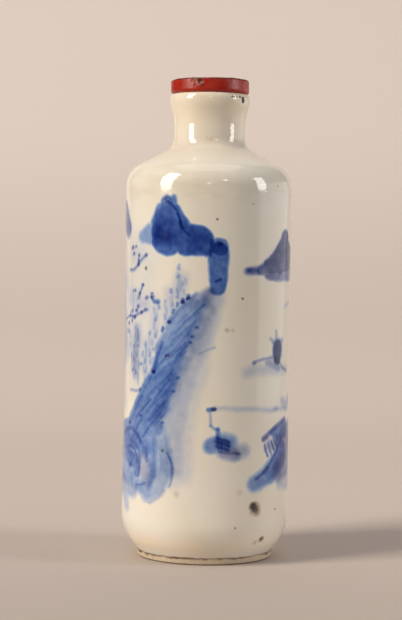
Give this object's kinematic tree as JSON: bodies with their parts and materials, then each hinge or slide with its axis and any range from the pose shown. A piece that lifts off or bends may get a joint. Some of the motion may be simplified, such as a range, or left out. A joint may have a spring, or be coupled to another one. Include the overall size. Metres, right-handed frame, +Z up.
{
  "type": "snuff bottle",
  "caption": "Cylindrical porcelain snuff bottle with a blue river landscape, a short rolled neck and a flat red glass stopper with a cork under it.",
  "frame": {"origin": "centre of the foot, on the surface that the bottle stands on", "axes": "+Z up along the bottle's axis; -Y is the painted front"},
  "size_m": [0.028, 0.028, 0.08],
  "materials": {
    "porcelain": "thick glossy cream glaze over a cobalt blue painting, with iron specks and a bare clay foot ring",
    "red_glass": "opaque coral-red glass, polished, with a small chip in the edge",
    "cork": "dry bare cork"
  },
  "bodies": {
    "root": {"bottle": "porcelain", "stopper_cap": "red_glass", "stopper_cork": "cork"}
  },
  "joints": []
}
